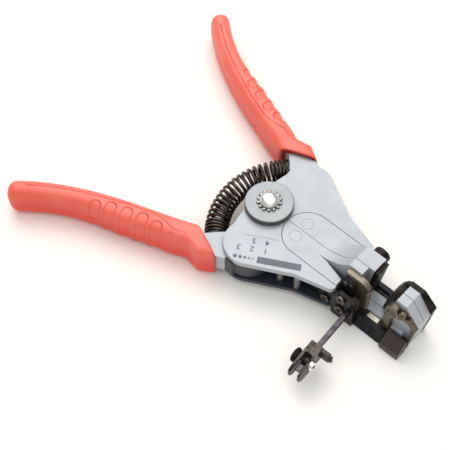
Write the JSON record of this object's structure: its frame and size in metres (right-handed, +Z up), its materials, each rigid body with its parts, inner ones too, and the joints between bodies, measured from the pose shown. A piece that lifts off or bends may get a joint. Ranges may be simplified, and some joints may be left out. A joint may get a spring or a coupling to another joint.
{
  "type": "automatic wire stripper",
  "caption": "Squeeze-handle wire stripper with two hinged frame halves, sliding jaws, notched blades, gripping jaws, a bent return spring and a length stop on a gauge rod.",
  "frame": {"origin": "on the main pivot's axis, at the table under the pivot pin's head", "axes": "+X from the pivot to the jaws, +Y to the gripping side, +Z up from the table to the pivot disc"},
  "size_m": [0.167, 0.1328, 0.026],
  "materials": {
    "silver": "satin",
    "dark_steel": "dark oxide",
    "blade": "bronze tinted",
    "grip": "soft vinyl",
    "chrome": "polished"
  },
  "bodies": {
    "left_frame": {"left_frame": "silver", "left_top_plate": "silver", "left_posts": "silver", "pivot_pin": "dark_steel", "pivot_disc": "silver", "pivot_cap": "chrome", "pivot_spacer": "dark_steel", "left_handle_pin": "dark_steel", "left_rail": "dark_steel", "front_blade": "blade", "front_blade_screw": "blade", "rod_block": "dark_steel", "socket_screws": "chrome", "gauge_rod": "chrome", "return_spring": "chrome"},
    "right_frame": {"right_frame": "silver", "right_top_plate": "silver", "right_posts": "silver", "right_handle_pin": "dark_steel", "right_rail": "dark_steel", "front_grip_jaw": "dark_steel", "front_grip_screws": "dark_steel"},
    "left_handle": {"left_handle": "silver", "left_cam_plate": "dark_steel", "left_grip": "grip"},
    "right_handle": {"right_handle": "silver", "right_cam_plate": "dark_steel", "right_grip": "grip"},
    "left_jaw": {"left_jaw_slide": "silver", "left_slide_pin": "silver", "left_drive_stud": "dark_steel", "rear_blade": "blade", "rear_blade_clamp": "dark_steel", "rear_blade_screws": "dark_steel"},
    "right_jaw": {"right_jaw_slide": "silver", "right_slide_pin": "silver", "right_drive_stud": "dark_steel", "rear_grip_jaw": "dark_steel", "rear_grip_screws": "dark_steel"},
    "stop": {"length_stop": "dark_steel", "stop_nut": "chrome"},
    "stop_screw": {"stop_screw": "dark_steel"}
  },
  "joints": [
    {"name": "frame_spread", "type": "hinge", "parent": "left_frame", "child": "right_frame", "pos_m": [0, 0, 0.01], "axis": [0, 0, 1], "range_deg": [0, 20], "stiffness_Nm_per_rad": 0.4},
    {"name": "right_squeeze", "type": "hinge", "parent": "right_frame", "child": "right_handle", "pos_m": [0.0055, 0.0182, 0.01], "axis": [0, 0, 1], "range_deg": [0, 18], "stiffness_Nm_per_rad": 0.6, "deforming": ["return_spring"]},
    {"name": "left_squeeze", "type": "hinge", "parent": "left_frame", "child": "left_handle", "pos_m": [0.0055, -0.0182, 0.01], "axis": [0, 0, 1], "range_deg": [-18, 0], "stiffness_Nm_per_rad": 0.6},
    {"name": "right_jaw_slide", "type": "slide", "parent": "right_frame", "child": "right_jaw", "axis": [1, 0, 0], "range_m": [0, 0.0065]},
    {"name": "left_jaw_slide", "type": "slide", "parent": "left_frame", "child": "left_jaw", "axis": [1, 0, 0], "range_m": [0, 0.0081]},
    {"name": "stop_slide", "type": "slide", "parent": "left_frame", "child": "stop", "axis": [0.0558, -0.9984, 0], "range_m": [-0.016, 0.003]},
    {"name": "stop_screw_turn", "type": "hinge", "parent": "stop", "child": "stop_screw", "pos_m": [0.05403, -0.04123, 0.0125], "axis": [0.9984, 0.0558, 0], "continuous": true}
  ],
  "couplings": [
    {"joint": "left_squeeze", "follows": "right_squeeze", "ratio": -1},
    {"joint": "right_jaw_slide", "follows": "right_squeeze", "m_per_rad": 0.02069},
    {"joint": "left_jaw_slide", "follows": "right_squeeze", "m_per_rad": 0.025783}
  ]
}
